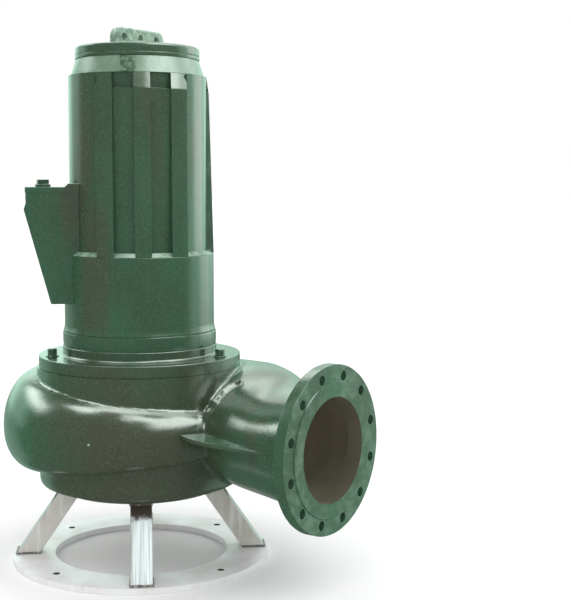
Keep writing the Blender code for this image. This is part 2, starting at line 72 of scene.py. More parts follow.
# Directions about the shaft, in degrees from the discharge's side
FRONT = -45.0  # the motor's middle front rib
BOX_SIDE = FRONT - 90
LEG_FIRST = -48.6
ANCHOR_FIRST = -5.5
LEG_COUNT = 4


# Selecting and shaping

def clear():
    bpy.ops.object.select_all(action="DESELECT")


def only(ob):
    clear()
    ob.select_set(True)
    bpy.context.view_layer.objects.active = ob


def start(name):
    """Names the primitive that was just added."""
    ob = bpy.context.object
    ob.name = ob.data.name = name
    return ob


def edit(ob, kind="VERT"):
    """Opens a piece in edit mode with nothing selected."""
    only(ob)
    bpy.ops.object.mode_set(mode="EDIT")
    bpy.ops.mesh.select_mode(type=kind)
    bpy.ops.mesh.select_all(action="DESELECT")


def everything():
    bpy.ops.mesh.select_all(action="SELECT")


def close():
    bpy.ops.object.mode_set(mode="OBJECT")


def close_outwards():
    """Turns the faces outwards and leaves edit mode."""
    everything()
    bpy.ops.mesh.normals_make_consistent(inside=False)
    close()


def pick(ob, kind, wanted):
    """Opens a piece in edit mode with the vertices, edges or faces selected that a test wants."""
    edit(ob, kind)
    mesh = ob.data
    bm = bmesh.from_edit_mesh(mesh)
    group = {"VERT": bm.verts, "EDGE": bm.edges, "FACE": bm.faces}[kind]
    for element in group:
        if wanted(element):
            element.select_set(True)
    bmesh.update_edit_mesh(mesh)


def apply(ob, kind, **settings):
    """Adds a modifier and applies it."""
    only(ob)
    step = ob.modifiers.new(kind.lower(), kind)
    for key, value in settings.items():
        setattr(step, key, value)
    bpy.ops.object.modifier_apply(modifier=step.name)
    return ob


def rounded(ob, width, segments=2, angle=40):
    """Rounds every edge that is sharper than an angle."""
    return apply(ob, "BEVEL", width=width, segments=segments, limit_method="ANGLE",
                 angle_limit=radians(angle), use_clamp_overlap=True)


def eased(ob, width, segments, wanted, **settings):
    """Rounds only the edges that a test wants."""
    pick(ob, "EDGE", wanted)
    bpy.ops.mesh.bevel(offset=width, segments=segments, **settings)
    close()
    return ob


def inset_top(ob, width, rise=0.0):
    """Insets the upper face and raises it."""
    pick(ob, "FACE", lambda f: f.normal.z > 0.9)
    bpy.ops.mesh.inset(thickness=width)
    bpy.ops.transform.translate(value=(0, 0, rise))
    close()
    return ob


def divided(ob, cuts):
    edit(ob)
    everything()
    bpy.ops.mesh.subdivide(number_cuts=cuts)
    close()
    return ob


def trimmed(ob, height, side):
    """Takes away what lies above a height, or below it where side is -1, and closes the cut."""
    edit(ob)
    everything()
    bpy.ops.mesh.bisect(plane_co=(0, 0, height), plane_no=(0, 0, side), clear_outer=True,
                        use_fill=True)
    close()
    return ob


def combined(ob, other, operation, solver="EXACT"):
    """Cuts or joins with another shape, which is then gone."""
    apply(ob, "BOOLEAN", operation=operation, object=other, solver=solver)
    bpy.data.objects.remove(other, do_unlink=True)
    return ob


def cut(ob, other, solver="EXACT"):
    return combined(ob, other, "DIFFERENCE", solver)


def join(ob, other, solver="EXACT"):
    return combined(ob, other, "UNION", solver)


def gathered(name, pieces):
    """Joins separate pieces into one object, without a Boolean."""
    only(pieces[0])
    for ob in pieces:
        ob.select_set(True)
    bpy.ops.object.join()
    return start(name)


def copied(ob):
    only(ob)
    bpy.ops.object.duplicate()
    return bpy.context.object


def settled(ob):
    """Puts a piece's place into its mesh."""
    only(ob)
    bpy.ops.object.transform_apply(location=True, rotation=True, scale=True)
    return ob


def moved(ob, place=(0, 0, 0), turn=(0, 0, 0)):
    """Moves a piece and turns it, in degrees, also in its mesh."""
    ob.location = place
    ob.rotation_euler = [radians(angle) for angle in turn]
    return settled(ob)


def drawn(name, points):
    """A line through points, drawn edge by edge and left in edit mode."""
    clear()
    bpy.ops.mesh.primitive_plane_add(size=0.01, location=points[0])
    ob = start(name)
    edit(ob)
    everything()
    bpy.ops.mesh.merge(type="CENTER")
    for before, after in zip(points, points[1:]):
        bpy.ops.mesh.extrude_region_move(
            TRANSFORM_OT_translate={"value": [b - a for a, b in zip(before, after)]})
    everything()
    return ob


def turned(name, outline, steps=128, ring=False):
    """Spins an outline of (radius, height) points about the Z axis."""
    points = [(r, 0, z) for r, z in outline]
    ob = drawn(name, points + points[:1] if ring else points)
    bpy.ops.mesh.spin(steps=steps, angle=tau, center=(0, 0, 0), axis=(0, 0, 1))
    everything()
    bpy.ops.mesh.remove_doubles(threshold=0.00002)
    close_outwards()
    return settled(ob)


def solid(points):
    """An outline that runs down the outer side, closed onto the axis at both ends."""
    return [(0, points[0][1]), *points, (0, points[-1][1])]


def flat_ring(name, outer, inner, bottom, top, edge, steps=128):
    """A ring of square section with its edges taken off."""
    outline = [(outer, top), (outer, bottom), (inner, bottom), (inner, top)]
    return rounded(turned(name, outline, steps, True), edge)


def slab(name, outline, thick):
    """A flat outline of (x, y) points, filled and raised."""
    ob = drawn(name, [(x, y, 0) for x, y in outline])
    bpy.ops.mesh.edge_face_add()
    bpy.ops.mesh.extrude_region_move(TRANSFORM_OT_translate={"value": (0, 0, thick)})
    close_outwards()
    return settled(ob)


def block(name, place, size):
    clear()
    bpy.ops.mesh.primitive_cube_add(size=1, location=place, scale=size)
    return settled(start(name))


def cylinder(name, radius, bottom, top, at=(0, 0), sides=48):
    clear()
    bpy.ops.mesh.primitive_cylinder_add(
        vertices=sides, radius=radius, depth=top - bottom,
        location=(at[0], at[1], (top + bottom) / 2))
    return settled(start(name))


def skinned(name, rings):
    """A circle takes the first ring's shape and is extruded to each of the next."""
    count = len(rings[0])
    clear()
    bpy.ops.mesh.primitive_circle_add(vertices=count, radius=1, fill_type="NGON")
    ob = start(name)
    edit(ob)
    mesh = ob.data
    bm = bmesh.from_edit_mesh(mesh)
    bm.verts.ensure_lookup_table()
    for vert, point in zip(bm.verts, rings[0]):
        vert.co = point
        vert.select_set(True)
    bm.select_flush(True)
    bmesh.update_edit_mesh(mesh)
    for before, after in zip(rings, rings[1:]):
        bpy.ops.mesh.extrude_region()
        bm = bmesh.from_edit_mesh(mesh)
        target = {tuple(round(c, 6) for c in Vector(p)): q for p, q in zip(before, after)}
        for vert in bm.verts:
            if vert.select:
                vert.co = target[tuple(round(c, 6) for c in vert.co)]
        bmesh.update_edit_mesh(mesh)
    close_outwards()
    return ob


def about(angle, radius, z=0.0):
    """The point at an angle and a radius about the Z axis."""
    a = radians(angle)
    return Vector((radius * cos(a), radius * sin(a), z))


# Shader maths

class Value:
    """A node's output that can stand in a Python expression."""

    def __init__(self, build, socket):
        self.build = build
        self.socket = socket

    def __add__(self, other):
        return self.build.math("ADD", self, other)

    def __rsub__(self, other):
        return self.build.math("SUBTRACT", other, self)

    def __mul__(self, other):
        return self.build.math("MULTIPLY", self, other)

    __radd__ = __add__
    __rmul__ = __mul__


class Build:
    """The nodes of one material or world."""

    def __init__(self, owner, coordinates="Object"):
        self.owner = owner
        owner.use_nodes = True
        self.tree = owner.node_tree
        self.place = self.node("TexCoord", output=coordinates)

    def node(self, kind, settings=None, inputs=None, output=0):
        made = self.tree.nodes.new("ShaderNode" + kind)
        for key, value in (settings or {}).items():
            setattr(made, key, value)
        for key, value in (inputs or {}).items():
            self.link(made.inputs[key], value)
        return Value(self, made.outputs[output])

    def link(self, socket, value):
        if isinstance(value, Value):
            self.tree.links.new(value.socket, socket)
        elif isinstance(value, tuple) and len(value) == 3 and socket.type == "RGBA":
            socket.default_value = (*value, 1)
        else:
            socket.default_value = value

    def math(self, operation, a, b):
        return self.node("Math", {"operation": operation}, {0: a, 1: b})

    def vector(self, operation, a, b, output=0):
        return self.node("VectorMath", {"operation": operation}, {0: a, 1: b}, output)

    def dot(self, a, b):
        return self.vector("DOT_PRODUCT", a, b, "Value")

    def scaled(self, vector, share):
        return self.node("VectorMath", {"operation": "SCALE"}, {0: vector, "Scale": share})

    def noise(self, scale, detail=2.0, roughness=0.5, stretch=(1, 1, 1)):
        """Noise on the object's own place, pulled out along the axes where stretch is small."""
        place = self.vector("MULTIPLY", self.place, stretch)
        return self.node("TexNoise", {}, {
            "Vector": place, "Scale": scale, "Detail": detail, "Roughness": roughness}, "Fac")

    def band(self, value, start, end):
        """0 below start, 1 above end and smooth between them."""
        return self.node("MapRange", {"interpolation_type": "SMOOTHSTEP"}, {
            "Value": value, "From Min": start, "From Max": end})

    def window(self, value, start, end, rise, fall):
        """Rises to 1 from start over rise, and sinks to 0 from end over fall."""
        return self.band(value, start, start + rise) * (1 - self.band(value, end, end + fall))

    def mix(self, share, a, b):
        """From colour a, where share is 0, to colour b."""
        return self.node("Mix", {"data_type": "RGBA"}, {0: share, 6: a, 7: b}, 2)

    def axis(self, letter):
        return self.node("SeparateXYZ", {}, {0: self.place}, letter)

    def bump(self, height, distance, strength, **under):
        return self.node("Bump", {}, {
            "Height": height, "Distance": distance, "Strength": strength, **under})

    def done(self, **inputs):
        shader = self.tree.nodes["Principled BSDF"]
        for name, value in inputs.items():
            self.link(shader.inputs[name.replace("_", " ")], value)
        return self.owner


def material(name):
    return Build(bpy.data.materials.new(name))


# Finishes

PAINT = (0.028, 0.072, 0.037)
PAINT_BRIGHT = (0.027, 0.098, 0.050)
PAINT_BROWN = (0.052, 0.048, 0.031)
PAINT_FLECK = (0.085, 0.145, 0.098)
PAINT_CHIP = (0.30, 0.42, 0.34)
# Pale tone of thinned and rubbed paint, and of painted sheen and highlights
PALE = (0.30, 0.44, 0.34)
RED_BROWN = (0.066, 0.044, 0.034)
STEEL_STREAK = (0.88, 0.89, 0.90)
BAR = (0.47, 0.49, 0.51)
# Painted dark reflection at the upper end of the legs' outer faces
BAR_TOP_REFLECTION = (0.050, 0.036, 0.026)

# A level line across the pump's front, from left to right, and places along it
ACROSS = (0.745, 0.667, 0)
WASH = (-0.38, -0.02)  # brown wash on the volute
STAIN = (-0.262, -0.196)  # reddish stain low on the motor
SHEEN_GAP = (-0.152, -0.114)  # painted dark mottling: a gap in the end cover's painted sheen


def cast_paint(name, rough, brown=0.0, grain=1.0, pale=0.0, wash=0.0, fall=0.5, ior=2.0,
               sheen_gap=None):
    """Green enamel over cast iron: uneven in tone, glossy, with the casting's skin in it.

    Brown is the strength of the wash, the streaks and the stain. Pale and wash lighten the paint
    towards PALE: thinned and rubbed paint in some finishes, painted sheen and highlights in
    others.
    The sheen gap is two places on the line ACROSS where painted dark mottling breaks up that
    cover."""
    b = material(name)
    across, height = b.dot(b.place, ACROSS), b.axis("Z")
    clouds = b.band(b.noise(6, 5, 0.65, (1, 1, 0.6)), 0.36, 0.64)
    colour = b.mix(clouds, PAINT, PAINT_BRIGHT)
    warm = b.band(b.noise(2.6, 3, 0.5, (1, 1, 0.7)), 0.62 - 0.4 * brown, 0.92 - 0.4 * brown)
    warm = warm * b.window(across, *WASH, 0.10, 0.16) * (1 - 0.6 * b.band(height, 0.50, 0.62))
    colour = b.mix(warm * 0.85, colour, PAINT_BROWN)
    streaks = b.band(b.noise(9, 3, 0.5, (1, 1, 0.12)), 0.50, 0.66)
    streaks = streaks * b.band(b.noise(2.1, 2), 0.45, 0.60)
    stain = b.window(across, *STAIN, 0.03, 0.03) * b.window(height, 0.57, 0.86, 0.06, 0.10)
    streaks = b.math("MAXIMUM", streaks, stain)
    colour = b.mix(streaks * brown * 0.6, colour, RED_BROWN)
    flecks = b.band(b.noise(170, 4, 0.7), 0.46, 0.70)
    colour = b.mix(flecks * 0.38, colour, PAINT_FLECK)
    # Pale cover: rubbed paint in some finishes, painted sheen and highlights in others
    rubbed_and_sheen = b.band(b.noise(26, 5, 0.7, (1, 1, fall)), 0.42, 0.66)
    cover = wash + rubbed_and_sheen * pale
    if sheen_gap:
        # Painted shade: dark mottling breaks up the painted sheen here
        dark = b.window(across, *sheen_gap, 0.006, 0.006)
        cover = cover * (1 - dark * b.band(b.noise(120, 3, 0.6), 0.40, 0.56))
    colour = b.mix(cover, colour, PALE)
    chips = b.band(b.noise(330, 2, 0.6), 0.70, 0.74) * b.band(b.noise(11, 2), 0.48, 0.60)
    colour = b.mix(chips * 0.5, colour, PAINT_CHIP)
    skin = b.bump(b.noise(150, 4, 0.65), 0.00020 * grain, 0.6)
    skin = b.bump(b.noise(32, 3, 0.5), 0.0007 * grain, 0.5, Normal=skin)
    return b.done(Base_Color=colour, Roughness=rough + 0.10 * b.noise(60, 3, 0.6),
                  Normal=skin, IOR=ior)


def primer(name):
    """Dull brown primer inside the casting, with a painted glow from its emission so that the
    shaded bore isn't black.
    """
    b = material(name)
    cloud = b.band(b.noise(12, 3, 0.6), 0.35, 0.7)
    tone = b.mix(cloud, (0.042, 0.037, 0.025), (0.050, 0.044, 0.030))
    # The emission is a painted glow that lifts the shade in the bore
    return b.done(Base_Color=tone, Roughness=0.8, Emission_Color=b.scaled(tone, 0.85),
                  Emission_Strength=1.0, Normal=b.bump(b.noise(200, 2), 0.0003, 0.4))


def bare_plate(name, colour, dim_tone, metallic, rough):
    """Plain steel plate: dull, with rolled streaks and handling marks."""
    b = material(name)
    cloud = b.band(b.noise(10, 4, 0.6), 0.38, 0.72)
    streak = b.band(b.noise(70, 3, 0.6, (1, 1, 0.10)), 0.46, 0.66)
    # A random cloud of the darker tone, not shade
    tone = b.mix(cloud * 0.7, colour, dim_tone)
    tone = b.mix(streak * 0.45, tone, STEEL_STREAK)
    normal = b.bump(b.noise(140, 3, 0.6), 0.0002, 0.4)
    return b.done(Base_Color=tone, Roughness=rough + 0.2 * cloud, Metallic=metallic,
                  Normal=normal)


def bar_steel(name, colour, turn):
    """Flat bar, brushed along its level direction turn, with a painted dark reflection of the
    casting above at its upper end.
    """
    b = material(name)
    turned = b.node("VectorRotate", {}, {"Vector": b.place, "Angle": radians(-turn)})
    lengthwise = b.vector("MULTIPLY", turned, (0.02, 1, 0.02))
    streak = b.node("TexNoise", {}, {"Vector": lengthwise, "Scale": 260.0, "Detail": 3.0},
                    "Fac")
    cloud = b.band(b.noise(12, 4, 0.6), 0.35, 0.72)
    # Painted reflection: the casting above darkens the bar's upper end
    top_reflection = b.band(b.axis("Z") + 0.03 * b.noise(60, 3), 0.162, 0.176)
    bright, dull = (tuple(share * part for part in colour) for share in (1.35, 0.72))
    tone = b.mix(b.band(streak, 0.36, 0.64), bright, dull)
    tone = b.mix(cloud * 0.35, tone, colour)
    tone = b.mix(top_reflection, tone, BAR_TOP_REFLECTION)
    return b.done(Base_Color=tone, Roughness=0.36 + 0.3 * top_reflection, Metallic=0.35 * (1 - top_reflection),
                  Normal=b.bump(streak, 0.0002, 0.4))


def raw_iron(name):
    """Bare brown cast iron."""
    b = material(name)
    cloud = b.band(b.noise(14, 4, 0.6), 0.35, 0.7)
    tone = b.mix(cloud, (0.090, 0.074, 0.052), (0.120, 0.100, 0.072))
    normal = b.bump(b.noise(230, 3, 0.7), 0.0004, 0.7)
    return b.done(Base_Color=tone, Roughness=0.62 + 0.2 * cloud, Metallic=0.1, Normal=normal)


def machined(name):
    """Turned steel, with fine rings."""
    b = material(name)
    rings = b.noise(900, 1, 0.5, (0.02, 0.02, 1))
    return b.done(Base_Color=b.mix(rings, (0.42, 0.43, 0.44), (0.60, 0.61, 0.62)),
                  Roughness=0.28 + 0.15 * rings, Metallic=1.0,
                  Normal=b.bump(rings, 0.00008, 0.5))


FINISH = {
    "paint": cast_paint("green_enamel", brown=0.95, rough=0.15, grain=1.1),
    "motor": cast_paint("green_enamel_smooth", brown=0.7, rough=0.15, grain=0.8),
    # wall: paler enamel that stands for a painted sheen, lifting the shade on rib flanks and the
    # web's top
    "wall": cast_paint("green_enamel_painted_sheen", rough=0.20, pale=0.22, wash=0.07),
    # thin: thin paint, lightened further by a painted sheen that stands for the cone's reflection
    "thin": cast_paint("green_enamel_thin_painted_sheen", rough=0.24, grain=1.1, pale=0.20, wash=0.36,
                       fall=0.6, ior=1.8, sheen_gap=SHEEN_GAP),
    "rough": cast_paint("green_enamel_rough", rough=0.26, grain=3.0, pale=0.7, wash=0.55,
                        fall=1.0, ior=1.8),
    "face": cast_paint("green_enamel_face", rough=0.40, grain=0.6, pale=0.20, wash=0.02,
                       fall=1.0, ior=1.5),
    # edge: pale enamel that stands for a painted highlight on surfaces that catch the light
    "edge": cast_paint("green_enamel_painted_highlight", rough=0.20, grain=2.0, pale=0.9, wash=0.45,
                       fall=1.0),
    "primer": primer("brown_primer_painted_glow"),
    "ring": bare_plate("plate_steel", (0.86, 0.85, 0.88), (0.74, 0.70, 0.69), 0.10, 0.34),
    "leg": bare_plate("bar_steel", (0.66, 0.64, 0.60), (0.46, 0.43, 0.37), 0.10, 0.45),
    "bar_face": bar_steel("bar_steel_face", BAR, LEG_FIRST),
    "bar_side": bar_steel("bar_steel_side", BAR, LEG_FIRST + 90),
    # weld: dark steel, partly the weld's own colour and partly painted shade at the legs' ends
    "weld": bare_plate("weld_steel_and_painted_shade", (0.20, 0.19, 0.17), (0.12, 0.10, 0.08), 0.2, 0.5),
    "iron": raw_iron("bare_iron"),
    "steel": machined("turned_steel"),
}


def with_slots(ob, count):
    """Gives a piece this many material slots; its faces keep theirs."""
    slots = ob.data.materials
    while len(slots) < count:
        slots.append(None)
    while len(slots) > count:
        slots.pop()
    return ob


def in_slot(ob, number, wanted=lambda face: True):
    """Puts the faces that a test wants in a material slot."""
    if len(ob.data.materials) <= number:
        with_slots(ob, number + 1)
    for face in ob.data.polygons:
        if wanted(face):
            face.material_index = number
    return ob


def ready(ob, finishes, node, angle=35, added=None):
    """Shades a finished piece, stands it about the shaft and lets it stand for a node.

    An added piece only rides with the node; added is only tested, and no material slot is given
    from it."""
    only(ob)
    bpy.ops.object.shade_smooth_by_angle(angle=radians(angle))
    moved(ob, SHAFT)
    apply(ob, "WEIGHTED_NORMAL", keep_sharp=True)
    with_slots(ob, len(finishes))
    for number, name in enumerate(finishes):
        ob.data.materials[number] = FINISH[name]
    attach(ob, BODY[node])
    if not added:
        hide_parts(node)


# Wet end

CASING_TOP = 0.502
CASING_BOTTOM = high("stand_head_ring") + GAP
MIDDLE = 0.350  # height of the discharge and of the spiral's middle
DRUM = 0.2585
NECK = 0.261
SPIRAL_CENTRE = 0.258  # radius of the middle of the spiral's section
TONGUE = -10.5  # where the spiral starts, turning clockwise from above
WALL = 0.016
CHAMBER = 0.178
COVER_BORE = 0.240
COVER_SEAT = 0.454
SUCTION_BORE = 0.215
SUCTION_SEAT = 0.2403
FLANGE_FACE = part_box("volute_casing")[1].x - SHAFT.x
FLANGE_THICK = 0.028
FLANGE_HUB = 0.045  # depth of the hub behind the face
RAISED = 0.003
RAISED_RADIUS = 0.160
FLANGE_RADIUS = 0.200
BORE = 0.125
BOLT_COUNT = 12
BOLT_CIRCLE = 0.175
BOLT_HOLE = 0.0115
WEB_BACK = -0.0325  # the web's straight edge, inside the branch
WEB_WIDTH = 0.12
WEB_FALL = 4.6  # degrees that it falls towards the flange
RIDGE_SIDES = 8
# Degrees of wrap from the tongue against the outer radius and the half height
SPIRAL_REACH = [(-14, 0.280), (0, 0.290), (40, 0.300), (78, 0.322), (128, 0.349),
                (180, 0.3680), (258, 0.3950), (270, 0.3950)]
SPIRAL_HALF = [(-14, 0.050), (0, 0.060), (40, 0.081), (78, 0.103), (128, 0.133),
               (180, 0.143), (258, 0.144), (270, 0.144)]
SPIRAL_LOW = 0.85  # depth below the middle, as a share of the height above
# Degrees of wrap against the fullness of the upper outer shoulder: 2 is an ellipse
SPIRAL_SHOULDER = [(-14, 2.2), (30, 1.80), (105, 1.80), (150, 2.25), (270, 2.25)]
# Distance along the discharge against the branch's back, front, height and depth
BRANCH_END = 0.573
BRANCH_BACK = [(0.0, 0.392), (0.1, 0.383), (0.2, 0.350), (0.3, 0.295), (0.42, 0.220),
               (0.5, 0.172), (BRANCH_END, 0.142)]
BRANCH_FRONT = [(0.0, 0.158), (0.1, 0.060), (0.2, -0.040), (0.255, -0.070), (0.3, -0.088),
                (0.4, -0.108), (0.5, -0.130), (BRANCH_END, -0.142)]
BRANCH_UP = [(0.0, 0.1415), (0.1, 0.145), (0.2, 0.150), (0.27, 0.153), (0.34, 0.146),
             (0.4, 0.133), (0.46, 0.132), (BRANCH_END, 0.139)]
BRANCH_DOWN = [(0.0, 0.122), (0.1, 0.128), (0.2, 0.142), (0.24, 0.147), (0.31, 0.157),
               (0.4, 0.159), (0.5, 0.157), (BRANCH_END, 0.150)]
SECTION_POINTS = 96


def between(table, x):
    """Reads a value from (x, value) pairs by a smooth curve through them."""
    if x <= table[0][0]:
        return table[0][1]
    for n in range(len(table) - 1):
        (x0, y0), (x1, y1) = table[n], table[n + 1]
        if x <= x1:
            before = table[max(n - 1, 0)]
            after = table[min(n + 2, len(table) - 1)]
            slope0 = (y1 - before[1]) / (x1 - before[0])
            slope1 = (after[1] - y0) / (after[0] - x0)
            t = (x - x0) / (x1 - x0)
            d = x1 - x0
            return (y0 * (1 + 2 * t) * (1 - t) ** 2 + y1 * t * t * (3 - 2 * t)
                    + d * slope0 * t * (1 - t) ** 2 - d * slope1 * t * t * (1 - t))
    return table[-1][1]


def section(origin, out, inner, outer, centre, half, low_power, low_share=1.0, top_power=None):
    """A rounded section in the upright plane through origin along the level direction out.

    A power of 2 makes an ellipse, and a higher one a fuller corner."""
    ring = []
    for n in range(SECTION_POINTS):
        t = tau * (n + 0.5) / SECTION_POINTS
        c, s = cos(t), sin(t)
        power = top_power if top_power and s > 0 and c > 0 else low_power
        side = copysign(abs(c) ** (2 / power), c)
        up = copysign(abs(s) ** (2 / power), s)
        width = (outer - centre) if c >= 0 else (centre - inner)
        height = half * up * (low_share if up < 0 else 1)
        ring.append(origin + out * (centre + side * width) + Vector((0, 0, height)))
    return ring


def steps(first, last, count):
    return [first + (last - first) * n / count for n in range(count + 1)]


def spiral():
    middle = Vector((0, 0, MIDDLE))
    return skinned("spiral", [
        section(middle, about(TONGUE - wrap, 1), 0.16, between(SPIRAL_REACH, wrap),
                SPIRAL_CENTRE, between(SPIRAL_HALF, wrap), 2.25, SPIRAL_LOW,
                between(SPIRAL_SHOULDER, wrap))
        for wrap in steps(-14, 270, 142)])


def branch():
    rings = []
    for x in steps(0.01, BRANCH_END, 30):
        back, front = between(BRANCH_BACK, x), between(BRANCH_FRONT, x)
        share = x / BRANCH_END
        centre = (1 - share) * SPIRAL_CENTRE * 0.9 + share * (back + front) / 2
        up, down = between(BRANCH_UP, x), between(BRANCH_DOWN, x)
        rings.append(section(Vector((x, 0, MIDDLE)), Vector((0, 1, 0)), front, back, centre, up,
                             2.25 - 0.25 * share, down / up))
    return skinned("branch", rings)


def passage():
    """The water's way, one wall thickness inside the spiral and the branch."""
    rings = []
    inner = CHAMBER - 0.013  # the passage opens into the chamber by this much
    for wrap in steps(0, 258, 43):
        outer = min(between(SPIRAL_REACH, wrap) - WALL, 0.212 + 0.0013 * wrap)
        centre = min(SPIRAL_CENTRE, inner + 0.6 * (outer - inner))
        half = min(between(SPIRAL_HALF, wrap) - WALL, 0.096 + 0.0001 * wrap)
        rings.append(section(Vector((0, 0, MIDDLE)), about(TONGUE - wrap, 1), inner, outer,
                             centre, half, 2.4))
    round_from = 0.555
    fronts = [(0.06, 0.150), (0.12, 0.100), (0.18, 0.010), (0.22, -0.026), (0.26, -0.050),
              (0.3, -0.070), (0.38, -0.088), (0.48, -0.110), (round_from, -BORE)]
    halves = [(0.0, 0.121), (0.3, 0.121), (0.4, 0.116), (0.48, 0.117), (round_from, BORE)]
    for x in (*steps(0.06, round_from, 22), FLANGE_FACE + 0.02):
        share = min(1.0, x / round_from)
        front = between(fronts, x)
        back = BORE if share == 1.0 else between(BRANCH_BACK, x) - WALL
        centre = (1 - share) * SPIRAL_CENTRE * 0.85 + share * (back + front) / 2
        rings.append(section(Vector((x, 0, MIDDLE)), Vector((0, 1, 0)), front, back, centre,
                             between(halves, x), 2.4 - 0.4 * share))
    return skinned("passage", rings)


def discharge_flange():
    """Flange with its raised face, crisp edges and drilled holes."""
    flange = turned("flange", solid([
        (RAISED_RADIUS, 0), (RAISED_RADIUS, -RAISED), (FLANGE_RADIUS, -RAISED),
        (FLANGE_RADIUS, -RAISED - FLANGE_THICK), (0.150, -RAISED - FLANGE_THICK),
        (0.139, -FLANGE_HUB)]), 144)
    rounded(flange, 0.0016)
    holes = []
    for n in range(BOLT_COUNT):
        at = about((n + 0.5) * 360 / BOLT_COUNT, BOLT_CIRCLE)
        holes.append(cylinder("flange_hole", BOLT_HOLE, -0.04, 0.04, at, 32))
    cut(flange, gathered("flange_holes", holes))
    return moved(flange, (FLANGE_FACE, 0, MIDDLE), (0, 90, 0))


def web():
    """Flat stiffener between the spiral and the branch, falling towards the flange."""
    plate = block("web", (0.33, WEB_BACK - WEB_WIDTH / 2, 0.3841), (0.30, WEB_WIDTH, 0.009))
    divided(plate, 15)
    edge = [(0.18, -0.10), (0.20, -0.13), (0.225, -0.1455), (0.257, -0.155), (0.28, -0.157),
            (0.30, -0.156), (0.38, -0.1415), (0.478, -0.122)]
    edit(plate)
    bm = bmesh.from_edit_mesh(plate.data)
    for vert in bm.verts:
        share = (WEB_BACK - vert.co.y) / WEB_WIDTH
        vert.co.y = WEB_BACK + share * (between(edge, vert.co.x) - WEB_BACK)
    bmesh.update_edit_mesh(plate.data)
    close()
    return moved(rounded(plate, 0.002, angle=50), turn=(0, WEB_FALL, 0))


def casting_ridge():
    """Lumpy seam where the branch leaves the drum."""
    way = [(0.268, -0.074, 0.398), (0.273, -0.067, 0.411), (0.277, -0.058, 0.424),
           (0.279, -0.048, 0.437), (0.281, -0.036, 0.449), (0.285, -0.022, 0.460),
           (0.291, -0.006, 0.470), (0.299, 0.008, 0.477), (0.309, 0.020, 0.483)]
    rings = []
    for n, point in enumerate(way):
        size = 0.0078 + 0.0026 * sin(2.6 * n)
        along = Vector(way[min(n + 1, len(way) - 1)]) - Vector(way[max(n - 1, 0)])
        side = along.cross((0, 0, 1)).normalized()
        up = side.cross(along).normalized()
        rings.append([Vector(point) + size * (side * cos(t) + up * sin(t))
                      for t in (tau * (k + 0.5) / RIDGE_SIDES for k in range(RIDGE_SIDES))])
    return skinned("casting_ridge", rings)


def casting_pip():
    """Small drip of paint on the front of the spiral."""
    clear()
    bpy.ops.mesh.primitive_uv_sphere_add(segments=24, ring_count=12, radius=0.004,
                                         location=about(-71.5, 0.3105, 0.352))
    pip = start("casting_pip")
    pip.scale.z = 0.8
    # The pip takes the pale enamel of a painted highlight
    ready(settled(pip), ("edge",), "volute_casing", added="paint")


def volute_casing():
    """One casting: drum, spiral and branch flow into each other with cast fillets."""
    face, bare, painted_sheen = 1, 2, 3
    casing = turned("volute_casing_cast", solid([
        (NECK, CASING_TOP + 0.012), (NECK, 0.42), (DRUM, 0.38), (DRUM, CASING_BOTTOM + 0.014),
        (DRUM - 0.004, CASING_BOTTOM + 0.004), (DRUM - 0.014, CASING_BOTTOM)]))
    join(casing, spiral())
    for piece in (branch(), casting_ridge()):
        join(casing, piece, "MANIFOLD")
    apply(casing, "REMESH", mode="VOXEL", voxel_size=0.0045)
    apply(casing, "SMOOTH", factor=0.5, iterations=5)
    trimmed(casing, CASING_TOP, 1)
    with_slots(casing, 4)
    # The web's top takes the paler enamel of a painted sheen
    join(casing, in_slot(web(), painted_sheen, lambda f: f.normal.z > 0.5), "MANIFOLD")
    join(casing, discharge_flange(), "MANIFOLD")
    front = FLANGE_FACE - RAISED - 0.001
    in_slot(casing, face, lambda f: f.normal.x > 0.7 and f.center.x > front)
    chamber = turned("chamber", solid([
        (COVER_BORE, CASING_TOP + 0.02), (COVER_BORE, COVER_SEAT), (CHAMBER, COVER_SEAT),
        (CHAMBER, SUCTION_SEAT), (SUCTION_BORE, SUCTION_SEAT),
        (SUCTION_BORE, CASING_BOTTOM - 0.02)]))
    for room in (chamber, passage()):
        cut(casing, in_slot(room, bare), "MANIFOLD")
    ready(casing, ("paint", "face", "primer", "wall"), "volute_casing")


COVER_TOP = 0.5315
COVER_RADIUS = 0.2567
COVER_NECK = 0.196
COVER_BOLT_CIRCLE = 0.2265
BASE_BOTTOM = low("motor_base")
SHAFT_RADIUS = 0.030
BORE_ROUND_SHAFT = SHAFT_RADIUS + 0.00035


def casing_cover():
    """Cover that closes the drum and carries the motor, with a turned step round its rim."""
    spigot, seat, under_rim = COVER_BORE - GAP, COVER_SEAT + GAP, CASING_TOP + GAP
    top = BASE_BOTTOM - GAP
    cover = turned("casing_cover_turned", [
        (COVER_NECK, top), (COVER_NECK, COVER_TOP + 0.004), (COVER_NECK + 0.004, COVER_TOP),
        (COVER_RADIUS, COVER_TOP), (COVER_RADIUS, under_rim), (spigot, under_rim),
        (spigot, seat), (BORE_ROUND_SHAFT, seat), (BORE_ROUND_SHAFT, top)], 160, True)
    eased(cover, 0.0022, 3, lambda e: all(v.co.z > COVER_TOP - 0.001 for v in e.verts)
          and abs(e.verts[0].co.z - e.verts[1].co.z) < 0.0001 and e.calc_length() < 0.03)
    rounded(cover, 0.0005, 1)
    ready(cover, ("paint",), "casing_cover")


def hex_bolt(size, tall):
    """Hex head with a chamfered top, on a washer; it stands at the origin."""
    washer_top = 0.0028
    washer = cylinder("washer", size * 1.28, -0.0004, washer_top, sides=32)
    rounded(washer, 0.0007, 1)
    head = inset_top(cylinder("head", size, washer_top, tall, sides=6), size * 0.16, size * 0.10)
    rounded(head, 0.0006, angle=25)
    return gathered("hex_bolt", [washer, head])


